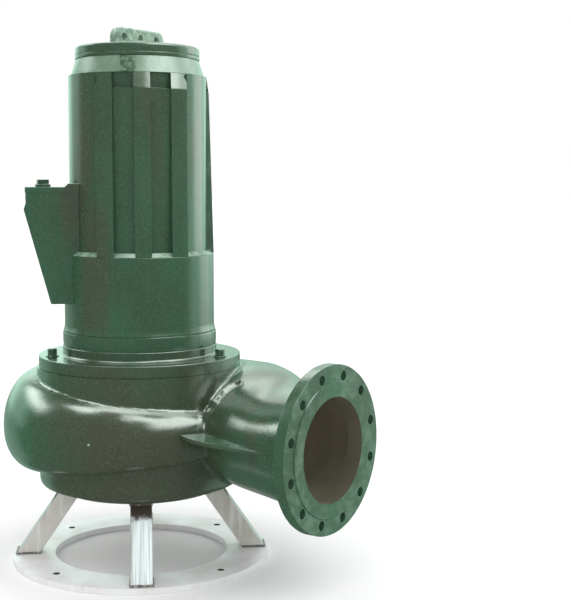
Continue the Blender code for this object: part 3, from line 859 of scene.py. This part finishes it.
def cover_bolts():
    """Hex bolts that hold the cover to the drum; the front of the rim has none."""
    bolts = []
    first = hex_bolt(0.0125, 0.019)
    for n, angle in enumerate((-124, 13, 91, 159)):
        bolts.append(moved(copied(first), about(angle, COVER_BOLT_CIRCLE, COVER_TOP),
                           (0, 0, angle + 7 * n)))
    bpy.data.objects.remove(first)
    ready(gathered("cover_bolts", bolts), ("paint",), "casing_cover", 28, "paint")


SUCTION_RIM, SUCTION_TOP = 0.170, 0.262
WEAR_SEAT, WEAR_BORE, WEAR_TOP = 0.135, 0.1205, 0.284
INLET = 0.103  # radius of the suction inlet, flared to its mouth


def suction_cover():
    """Cover that closes the drum from below, round the flared inlet."""
    seat, fit = SUCTION_SEAT - GAP, SUCTION_BORE - GAP
    cover = turned("suction_cover_turned", [
        (SUCTION_RIM, SUCTION_TOP), (SUCTION_RIM, seat), (fit, seat), (fit, CASING_BOTTOM),
        (INLET + 0.017, CASING_BOTTOM), (INLET + 0.009, CASING_BOTTOM + 0.004),
        (INLET + 0.003, CASING_BOTTOM + 0.012), (INLET, CASING_BOTTOM + 0.022),
        (INLET, SUCTION_SEAT), (WEAR_SEAT, SUCTION_SEAT), (WEAR_SEAT, SUCTION_TOP)], ring=True)
    rounded(cover, 0.0012)
    ready(cover, ("paint",), "suction_cover")


def wear_ring():
    ring = flat_ring("wear_ring_turned", WEAR_SEAT - GAP, WEAR_BORE, SUCTION_SEAT + GAP,
                     WEAR_TOP, 0.0010)
    ready(ring, ("steel",), "wear_ring")


# Motor

LOWER_TOP = high("lower_motor_housing")
LOWER_RADIUS = 0.190
BASE_TOP = high("motor_base")
STATOR_TOP = high("stator_housing")
VALLEY = 0.1734
POCKET = 0.159
RIB_HALF = 0.020  # ribs have parallel flanks
RIB_PITCH = 0.091
SEAT = LOWER_TOP + 0.010  # top of the sloped seat above the lower housing
SHOULDER = 1.192  # where the ribs start to slope in
RIB_HIGH = 0.179  # their radius there
CONE_LOW = low("motor_end_cover")
CONE_HIGH = high("motor_end_cover")
CONE_RADIUS = 0.1665
CAP_RADIUS = 0.1555
CAP_TOP = high("top_cap")


def motor_base():
    foot, rim = 0.1938, 0.195
    base = turned("motor_base_turned", solid([
        (rim - 0.0015, BASE_TOP), (rim, BASE_TOP - 0.004), (rim, BASE_BOTTOM + 0.007),
        (foot, BASE_BOTTOM + 0.005), (foot, BASE_BOTTOM)]), 160)
    cut(base, cylinder("bore", BORE_ROUND_SHAFT, 0.5, 0.58))
    rounded(base, 0.0013)
    ready(base, ("motor",), "motor_base")


def lower_motor_housing():
    """Plain drum that swells a little at its foot."""
    bottom, foot = low("lower_motor_housing"), LOWER_RADIUS + 0.003
    body = turned("lower_motor_housing_cast", solid([
        (LOWER_RADIUS, LOWER_TOP), (LOWER_RADIUS, bottom + 0.020),
        (LOWER_RADIUS + 0.0008, bottom + 0.010), (foot, bottom + 0.004), (foot, bottom)]), 160)
    rounded(body, 0.0018, 3, 35)
    ready(body, ("motor",), "lower_motor_housing")


def flank_angle(offset, radius):
    """Angle at which a circle about the shaft lies this far left of a direction."""
    return degrees(asin(offset / radius))


def stator_ring(z, rib, valley, pocket):
    """Section of the stator housing: three ribs in front and at the back, and one at the right."""
    group = (-RIB_PITCH, 0, RIB_PITCH)
    groups = [(FRONT, group, 20), (FRONT + 90, (0,), 20), (FRONT + 180, group, 44)]
    points = []

    def wall(start_angle, end_angle, radius, count):
        return [about(start_angle + (end_angle - start_angle) * k / count, radius, z)
                for k in range(1, count)]

    for n, (middle, ribs, wall_steps) in enumerate(groups):
        for m, offset in enumerate(ribs):
            before = pocket if m else valley
            after = pocket if m < len(ribs) - 1 else valley
            points.append(about(middle + flank_angle(offset - RIB_HALF, before), before, z))
            points += [about(middle + flank_angle(offset + share * RIB_HALF, rib), rib, z)
                       for share in (-1, -0.5, 0, 0.5, 1)]
            points.append(about(middle + flank_angle(offset + RIB_HALF, after), after, z))
            if m < len(ribs) - 1:
                points += wall(middle + flank_angle(offset + RIB_HALF, pocket),
                               middle + flank_angle(ribs[m + 1] - RIB_HALF, pocket), pocket, 8)
        following, next_ribs, _ = groups[(n + 1) % len(groups)]
        first = middle + flank_angle(ribs[-1] + RIB_HALF, valley)
        last = following + flank_angle(next_ribs[0] - RIB_HALF, valley)
        last += 360 if following < middle else 0
        points += wall(first, last, valley, wall_steps)
    return points


def stator_housing():
    """Ribbed housing on a sloped seat, with pockets between the ribs at its top."""
    flush = LOWER_RADIUS - 0.0005
    bottom = LOWER_TOP + GAP
    body = skinned("stator_housing_cast", [stator_ring(*sizes) for sizes in (
        (bottom, LOWER_RADIUS, flush, flush),
        (bottom + 0.0015, LOWER_RADIUS, flush - 0.0018, flush - 0.0018),
        (SEAT - 0.0005, LOWER_RADIUS, VALLEY + 0.0055, VALLEY + 0.0055),
        (SEAT, LOWER_RADIUS, VALLEY, VALLEY),
        (SEAT + 0.002, LOWER_RADIUS - 0.0001, VALLEY, VALLEY),
        (SHOULDER - 0.002, RIB_HIGH + 0.0001, VALLEY, VALLEY),
        (SHOULDER, RIB_HIGH, VALLEY, VALLEY),
        (SHOULDER + 0.003, RIB_HIGH - 0.001, VALLEY, POCKET),
        (SHOULDER + 0.005, RIB_HIGH - 0.0015, VALLEY, POCKET),
        (STATOR_TOP, CONE_RADIUS, VALLEY, POCKET))])
    rounded(body, 0.0020, 3, 28)
    # The sloped seat's upward faces take the pale enamel of a painted highlight
    in_slot(body, 1, lambda f: f.normal.z > 0.25 and f.center.z < SEAT + 0.001)
    # The ribs' flanks take the paler enamel of a painted sheen, which lifts their shade
    in_slot(body, 2, lambda f: abs(f.normal.z) < 0.3
            and f.normal.xy.dot(f.center.xy.normalized()) < 0.85)
    ready(body, ("motor", "edge", "wall"), "stator_housing", angle=24)


def motor_end_cover():
    cone = turned("motor_end_cover_cast", solid([
        (CAP_RADIUS - 0.002, CONE_HIGH), (CONE_RADIUS, CONE_LOW)]), 160)
    rounded(cone, 0.0008, angle=20)
    # The end cover's paler enamel is partly thin paint and partly a painted sheen
    ready(cone, ("thin",), "motor_end_cover")


def top_cap():
    """Flat cap with a rounded edge and a fine groove round its side."""
    lip = CONE_HIGH + 0.009
    r = CAP_RADIUS
    cap = turned("top_cap_cast", solid([
        (r - 0.030, CAP_TOP), (r - 0.010, CAP_TOP - 0.0005), (r - 0.0045, CAP_TOP - 0.0016),
        (r - 0.0015, CAP_TOP - 0.004), (r, CAP_TOP - 0.008), (r, lip + 0.0016),
        (r - 0.0010, lip + 0.0004), (r - 0.0010, lip - 0.0004), (r + 0.0005, lip - 0.0016),
        (r + 0.0005, CONE_HIGH + GAP)]), 160)
    rounded(cap, 0.0004, angle=30)
    ready(cap, ("motor",), "top_cap")


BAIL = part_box("lifting_bail")
BAIL_CORNER = 0.022
BAIL_SKIN = 0.0006  # what the lumps add on top
EYES = (-0.060, 0, 0.060)
EYE_HEIGHT = 1.325
EYE_RADIUS = 0.009


def lifting_bail():
    """Rough cast plate with three eyes, left as it came from the mould."""
    bottom, top = BAIL[0].z, BAIL[1].z - BAIL_SKIN
    half = (BAIL[1].y - BAIL[0].y) / 2
    thick = BAIL[1].x - BAIL[0].x
    outline = [(-half, bottom), (half, bottom)]
    for side, first in ((1, 0), (-1, 90)):
        outline += [(side * (half - BAIL_CORNER) + BAIL_CORNER * cos(t),
                     top - BAIL_CORNER + BAIL_CORNER * sin(t))
                    for t in (radians(first + 15 * k) for k in range(7))]
    plate = slab("lifting_bail_cast", outline, thick)
    moved(plate, (-thick / 2, 0, 0), (90, 0, 90))
    rounded(plate, 0.003, angle=50)
    for y in EYES:
        eye = cylinder("eye", EYE_RADIUS, -0.05, 0.05, sides=32)
        cut(plate, moved(eye, (0, y, EYE_HEIGHT), (0, 90, 0)))
    apply(plate, "REMESH", mode="VOXEL", voxel_size=0.0014)
    apply(plate, "SMOOTH", factor=0.5, iterations=6)
    lumps = bpy.data.textures.new("lumps", "CLOUDS")
    lumps.noise_scale = 0.019
    lumps.noise_depth = 1
    apply(plate, "DISPLACE", texture=lumps, strength=0.0036, mid_level=0.72)
    trimmed(plate, bottom, -1)
    ready(plate, ("rough",), "lifting_bail", angle=50)


# Cable entry

BOX_BOTTOM = low("cable_box")
LID_LOW = low("cable_box_lid")
LID_TOP = low("cable_gland") - GAP
BOX_HALF = 0.088
BOX_REACH = 0.280
BOX_KNEE = 0.285
KNEE_HEIGHT = 0.9005
BOX_FOOT = 0.2225
BOX_BACK = 0.150
GLAND_OUT = 0.2395  # out from the shaft
GLAND_RADIUS = 0.0195
PLUG_RADIUS = 0.0163
SCREW_RADIUS = 0.0066
SCREW_SINK = 0.0006  # how far a screw's head lies below the lid
SCREW_HEAD = 0.0052
SCREW_PLACES = [about(BOX_SIDE, out) + about(BOX_SIDE + 90, side)
                for out in (0.212, 0.266) for side in (-0.074, 0.074)]


def on_box_side(ob, half):
    """Stands a flat outline up against the motor, its x running out along the box's side."""
    return moved(ob, about(BOX_SIDE + 90, half), (90, 0, BOX_SIDE))


def motor_room():
    """The motor's own shape, with the gap round it, that the box and its lid are cut to."""
    return turned("motor_room", solid([
        (VALLEY + GAP, 1.0), (VALLEY + GAP, SEAT), (LOWER_RADIUS + GAP, LOWER_TOP),
        (LOWER_RADIUS + GAP, 0.6)]), 160)


def cable_box():
    """Box that widens upwards to a knee, with drafted, rounded sides."""
    top = LID_LOW - GAP
    body = slab("cable_box_cast", [
        (BOX_BACK, BOX_BOTTOM), (BOX_FOOT, BOX_BOTTOM), (BOX_KNEE, KNEE_HEIGHT),
        (BOX_REACH, KNEE_HEIGHT + 0.0155), (BOX_REACH, top), (BOX_BACK, top)], 2 * BOX_HALF)
    on_box_side(body, BOX_HALF)
    eased(body, 0.0035, 3, lambda e: min(v.co.z for v in e.verts) < LID_LOW - 0.001,
          profile=0.7, clamp_overlap=True)
    cut(body, motor_room())
    ready(body, ("motor",), "cable_box", angle=32)


def cable_box_lid():
    """Lid with a raised lip along the motor and a sunk hole for each screw."""
    proud = 0.001  # how far the lid stands out round the box
    lip = LID_TOP + 0.009
    lid = slab("cable_box_lid_cast", [
        (BOX_BACK, LID_LOW), (BOX_REACH + proud, LID_LOW), (BOX_REACH + proud, LID_TOP),
        (VALLEY + 0.013, LID_TOP), (VALLEY + 0.004, lip), (BOX_BACK, lip)],
        2 * (BOX_HALF + proud))
    on_box_side(lid, BOX_HALF + proud)
    eased(lid, 0.0012, 2, lambda e: max(v.co.z for v in e.verts) > LID_LOW + 0.001,
          profile=0.7, clamp_overlap=True)
    cut(lid, motor_room())
    # The raised lip takes the pale enamel of a painted highlight
    in_slot(lid, 1, lambda f: f.center.z > LID_TOP + 0.001)
    for place in SCREW_PLACES:
        hole = cylinder("hole", SCREW_RADIUS + 0.0007, LID_TOP - 0.006, LID_TOP + 0.02, sides=32)
        cut(lid, moved(hole, place))
    ready(lid, ("motor", "edge"), "cable_box_lid", angle=32)


def lid_screws():
    """Socket screws sunk into the lid's corners."""
    screws = []
    top = LID_TOP - SCREW_SINK
    for place in SCREW_PLACES:
        head = cylinder("screw", SCREW_RADIUS, top - SCREW_HEAD, top, sides=32)
        rounded(head, 0.0006)
        cut(head, cylinder("socket", 0.0032, top - 0.003, LID_TOP + 0.01, sides=6))
        screws.append(moved(head, place))
    ready(gathered("lid_screws", screws), ("motor",), "cable_box_lid", 28, "steel")


def gland():
    """Gland on the lid and the plug that closes it, with flats for a spanner."""
    place = about(BOX_SIDE, GLAND_OUT)
    top = high("cable_gland")
    boss = cylinder("cable_gland_body", GLAND_RADIUS, low("cable_gland"), top, sides=64)
    moved(rounded(boss, 0.0012), place)
    ready(boss, ("paint",), "cable_gland")
    plug = cylinder("gland_plug_hex", PLUG_RADIUS, top + GAP, high("gland_plug"), sides=6)
    moved(rounded(inset_top(plug, 0.0022), 0.0012), place)
    ready(plug, ("paint",), "gland_plug", angle=28)


# Stand

RING_TOP = high("stand_foot_ring")
RING_INNER = 0.2225
RING_EDGE = 0.0009
ANCHOR_RADIUS = 0.2835
ANCHOR_HOLE = 0.009
HEAD_LOW = low("stand_head_ring")
HEAD_INNER = 0.118
LEG_WIDTH = 0.053
LEG_DEPTH = 0.058  # measured level, across the rake
LEG_FOOT = 0.291
LEG_HEAD = 0.175
WELD_WIDTH = 0.002  # how far a bead stands out from its leg


def foot_ring():
    """Ring on the floor with a hole for an anchor between each two legs; no gloss mirrors it."""
    ring = flat_ring("stand_foot_ring_plate", reach("stand_foot_ring"), RING_INNER, FLOOR,
                     RING_TOP, RING_EDGE, 192)
    with_slots(ring, 2)
    for n in range(LEG_COUNT):
        at = about(ANCHOR_FIRST + n * 360 / LEG_COUNT, ANCHOR_RADIUS)
        hole = cylinder("anchor_hole", ANCHOR_HOLE, -0.01, 0.03, at, 40)
        # The holes' walls take the dark bare iron finish: painted shade inside the holes
        cut(ring, in_slot(hole, 1), "MANIFOLD")
    ring.visible_glossy = False
    ready(ring, ("ring", "iron"), "stand_foot_ring")


def head_ring():
    ring = flat_ring("stand_head_ring_plate", reach("stand_head_ring"), HEAD_INNER, HEAD_LOW,
                     high("stand_head_ring"), RING_EDGE, 160)
    # The green enamel, in place of bare steel, keeps the ring dark: painted shade under the drum
    ready(ring, ("paint",), "stand_head_ring")


def at_leg(ob, number):
    """Turns a piece that was made along X to its leg."""
    return moved(ob, turn=(0, 0, LEG_FIRST + number * 360 / LEG_COUNT))


def stand_leg(number):
    """Raked flat bar, sheared at both ends to sit level on its rings."""
    name = f"stand_leg_{number + 1}"
    bottom, top = low(name), high(name)
    middle = (bottom + top) / 2
    leg = block(name + "_bar", (LEG_FOOT, 0, middle), (LEG_DEPTH, LEG_WIDTH, top - bottom))
    pick(leg, "VERT", lambda v: v.co.z > middle)
    bpy.ops.transform.translate(value=(LEG_HEAD - LEG_FOOT, 0, 0))
    close()
    rounded(leg, 0.0022)
    # The outer face takes the bar finish with its painted dark reflection at the top
    in_slot(leg, 1, lambda f: f.normal.x > 0.5)
    outer_face = ("bar_face", "bar_side")[number % 2]
    ready(at_leg(leg, number), ("leg", outer_face), name)


def weld_bead(number, middle, level):
    """Lumpy weld round one end of a leg."""
    size = (LEG_DEPTH + 2 * WELD_WIDTH, LEG_WIDTH + 2 * WELD_WIDTH, 0.0045)
    bead = block("bead", (middle, 0, level + 0.003), size)
    divided(bead, 14)
    pick(bead, "VERT", lambda v: level + 0.0005 < v.co.z < level + 0.0055)
    bpy.ops.transform.vertex_random(offset=0.0016, seed=number + 3)
    close()
    apply(bead, "SMOOTH", factor=0.6, iterations=2)
    return at_leg(bead, number)


def weld_beads():
    beads = [weld_bead(number, middle, level) for number in range(LEG_COUNT)
             for middle, level in ((LEG_FOOT, RING_TOP), (LEG_HEAD, HEAD_LOW - 0.006))]
    # The beads' dark colour is partly the weld's own and partly painted shade
    ready(gathered("weld_beads", beads), ("weld",), "stand_foot_ring", 60, "zinc")


# Rotor

IMPELLER_RADIUS = 0.170
IMPELLER_BOTTOM = low("impeller")
IMPELLER_TOP = high("impeller")
IMPELLER_EYE = 0.102
SKIRT = 0.115  # outer radius of the shroud's skirt
HUB = 0.046
VANE_COUNT = 3
VANE_START = 0.044
VANE_END = IMPELLER_RADIUS - 0.003
VANE_HALF = 0.006  # half its thickness
VANE_TOP = 0.408
VANE_SWEEP = 150  # degrees that it turns from the hub to the rim
SHAFT_BOTTOM = low("shaft")


def vane(first):
    """One vane, curving back from the hub to the rim."""
    rings = []
    for share in steps(0, 1, 36):
        radius = VANE_START + share * (VANE_END - VANE_START)
        angle = first + VANE_SWEEP * share
        half = degrees(VANE_HALF / radius)
        bottom = 0.300 - 0.06 * max(0.0, radius - 0.1)
        rings.append([about(angle + side, radius, z) for side, z in (
            (-half, bottom), (half, bottom), (half, VANE_TOP), (-half, VANE_TOP))])
    return skinned("vane", rings)


def impeller():
    """Channel impeller: a disc and a shroud with three long vanes between them."""
    bore = SHAFT_RADIUS + GAP
    wheel = turned("impeller_cast", [
        (IMPELLER_RADIUS - 0.020, IMPELLER_TOP), (IMPELLER_RADIUS, IMPELLER_TOP - 0.008),
        (IMPELLER_RADIUS, 0.398), (0.075, 0.388), (0.054, 0.372), (HUB, 0.350),
        (HUB - 0.001, SHAFT_BOTTOM + 0.002), (HUB - 0.003, SHAFT_BOTTOM), (bore, SHAFT_BOTTOM),
        (bore, IMPELLER_TOP)], ring=True)
    shroud = turned("shroud", [
        (IMPELLER_RADIUS, 0.308), (IMPELLER_RADIUS, 0.290), (SKIRT + 0.004, 0.284),
        (SKIRT, 0.278), (SKIRT, IMPELLER_BOTTOM), (IMPELLER_EYE, IMPELLER_BOTTOM),
        (IMPELLER_EYE, 0.286), (IMPELLER_EYE + 0.006, 0.298), (0.120, 0.304)], ring=True)
    for n in range(VANE_COUNT):
        join(wheel, vane(n * 360 / VANE_COUNT))
    join(wheel, shroud)
    ready(wheel, ("iron",), "impeller")


def shaft_end():
    """Shaft, and the washer and hexagon screw that hold the impeller on it."""
    for node, form, radius, sides, edge, angle in (
            ("shaft", "bar", SHAFT_RADIUS, 96, 0.001, 35),
            ("impeller_washer", "disc", 0.038, 96, 0.0015, 35),
            ("impeller_screw", "head", 0.018, 6, 0.0012, 28)):
        piece = cylinder(f"{node}_{form}", radius, low(node), high(node), sides=sides)
        ready(rounded(piece, edge), ("steel",), node, angle=angle)


# Camera, floor and light

CAMERA_PLACE = (-48.201, 3.1502, 0.9699)  # direction and distance from the shaft, height
CAMERA_TURN = (124.975, -5.534, 0.110)  # heading, pitch and roll, in degrees
CAMERA_LENS = 73.42


def camera():
    """Stands where the photograph was taken from."""
    heading, pitch, roll = (radians(angle) for angle in CAMERA_TURN)
    data = bpy.data.cameras.new("camera")
    data.lens = CAMERA_LENS
    data.clip_start, data.clip_end = 0.05, 200
    ob = bpy.data.objects.new("camera", data)
    bpy.context.scene.collection.objects.link(ob)
    forward = Vector((cos(heading) * cos(pitch), sin(heading) * cos(pitch), sin(pitch)))
    right = Vector((sin(heading), -cos(heading), 0))
    up = right.cross(forward)
    across = right * cos(roll) + up * sin(roll)
    upward = up * cos(roll) - right * sin(roll)
    turn = Matrix((across, upward, -forward)).transposed()
    ob.matrix_world = Matrix.Translation(SHAFT + about(*CAMERA_PLACE)) @ turn.to_4x4()
    bpy.context.scene.camera = ob


def floor():
    """White floor; the enamel doesn't mirror it."""
    clear()
    bpy.ops.mesh.primitive_circle_add(vertices=96, radius=60, fill_type="NGON",
                                      location=(0, 0, FLOOR - 0.0005))
    ob = start("floor")
    b = material("pale_floor")
    ob.data.materials.append(b.done(Base_Color=(0.94, 0.94, 0.94), Roughness=0.9))
    ob.visible_glossy = False


CAMERA_SIDE = -48.2
# What the enamel mirrors: degrees to the right of the camera's side, degrees up, half width,
# half height, brightness and tint
GREENISH = (0.66, 1.0, 0.82)
MILKY = (0.90, 1.0, 0.94)
ALL_ROUND = 180
PANELS = {
    "key": (50, 42, 31, 16, 6.0, MILKY),
    "wing": (8, 59, 13, 12, 5.6, MILKY),
    "key_side": (101, 34, 17, 10, 2.4, MILKY),
    "top_left": (-76, 65, 22, 9, 7.0, MILKY),
    "left_high": (-122, 33, 23, 7, 5.6, MILKY),
    "left_wall": (-146, 14, 34, 14, 0.85, GREENISH),
    "left_low": (-150, -18, 28, 14, 0.40, GREENISH),
    "back_high": (180, 43, 22, 8, 3.2, MILKY),
    "back_middle": (180, 25, 24, 10, 1.1, MILKY),
    "back_wall": (180, 8, 40, 10, 0.8, GREENISH),
    "right_wall": (120, 14, 12, 19, 2.2, MILKY),
    "right_near": (97, 14, 12, 19, 0.9, GREENISH),
    "right_back": (144, 14, 12, 19, 1.0, GREENISH),
    "right_low": (114, -18, 34, 13, 0.48, GREENISH),
    "right_high": (100, 64, 38, 10, 3.4, MILKY),
    "overhead": (0, 90, ALL_ROUND, 14, 5.2, MILKY),
}
PANEL_EDGE = 6.0  # degrees over which a panel fades
DARK_ROOM = (0.11, 0.145, 0.12)
WHITE = (1, 1, 1)


def mirrored_room(b):
    """Brightness of the panels in each direction."""
    front, right = about(CAMERA_SIDE, 1), about(CAMERA_SIDE + 90, 1)
    flat = b.node("VectorMath", {"operation": "NORMALIZE"},
                  {0: b.vector("MULTIPLY", b.place, (1, 1, 0))})
    up = b.axis("Z")

    def edge(angle):
        return sin(radians(max(-90, min(90, angle))))

    total = DARK_ROOM
    for side, height, wide, tall, brightness, tint in PANELS.values():
        share = b.band(up, edge(height - tall - PANEL_EDGE), edge(height - tall + PANEL_EDGE))
        if height + tall < 90:
            share = share * (1 - b.band(up, edge(height + tall - PANEL_EDGE),
                                        edge(height + tall + PANEL_EDGE)))
        if wide < ALL_ROUND:
            turn = radians(side)
            middle = front * cos(turn) + right * sin(turn)
            share = share * b.band(b.dot(flat, tuple(middle)), cos(radians(wide + PANEL_EDGE)),
                                   cos(radians(wide - PANEL_EDGE)))
        total = b.vector("ADD", total, b.scaled(tint, share * brightness))
    return total


def light():
    """White room for the floor and the plain colours; the gloss mirrors a dark one with panels."""
    world = bpy.data.worlds.new("studio")
    bpy.context.scene.world = world
    b = Build(world, "Generated")
    world.cycles.sampling_method = "NONE"

    def background(colour, strength):
        return b.node("Background", {}, {"Color": colour, "Strength": strength})

    glossy = b.node("LightPath", output="Is Glossy Ray")
    seen = b.node("LightPath", output="Is Camera Ray")
    room = b.node("MixShader", {}, {0: glossy, 1: background(WHITE, 1.25),
                                    2: background(mirrored_room(b), 1.0)})
    studio = b.node("MixShader", {}, {0: seen, 1: room, 2: background(WHITE, 1.0)})
    b.link(b.tree.nodes["World Output"].inputs["Surface"], studio)
    lamp("soft_key", about(CAMERA_SIDE + 50, 3.0, 3.4), (3.0, 2.0), 0.7)


def lamp(name, place, size, radiance):
    """A soft lamp that lights the paint and doesn't show in its gloss."""
    data = bpy.data.lights.new(name, "AREA")
    data.shape = "RECTANGLE"
    data.size, data.size_y = size
    data.energy = radiance * pi * size[0] * size[1]
    ob = bpy.data.objects.new(name, data)
    ob.location = SHAFT + place
    ob.rotation_euler = (Vector((0, 0, 0.7)) - place).to_track_quat("-Z", "Y").to_euler()
    ob.visible_camera = False
    ob.visible_glossy = False
    bpy.context.scene.collection.objects.link(ob)


volute_casing()
casting_pip()
casing_cover()
cover_bolts()
suction_cover()
wear_ring()
motor_base()
lower_motor_housing()
stator_housing()
motor_end_cover()
top_cap()
lifting_bail()
cable_box()
cable_box_lid()
lid_screws()
gland()
foot_ring()
head_ring()
for leg in range(LEG_COUNT):
    stand_leg(leg)
weld_beads()
impeller()
shaft_end()
camera()
floor()
light()
bpy.context.scene.view_settings.view_transform = "Standard"
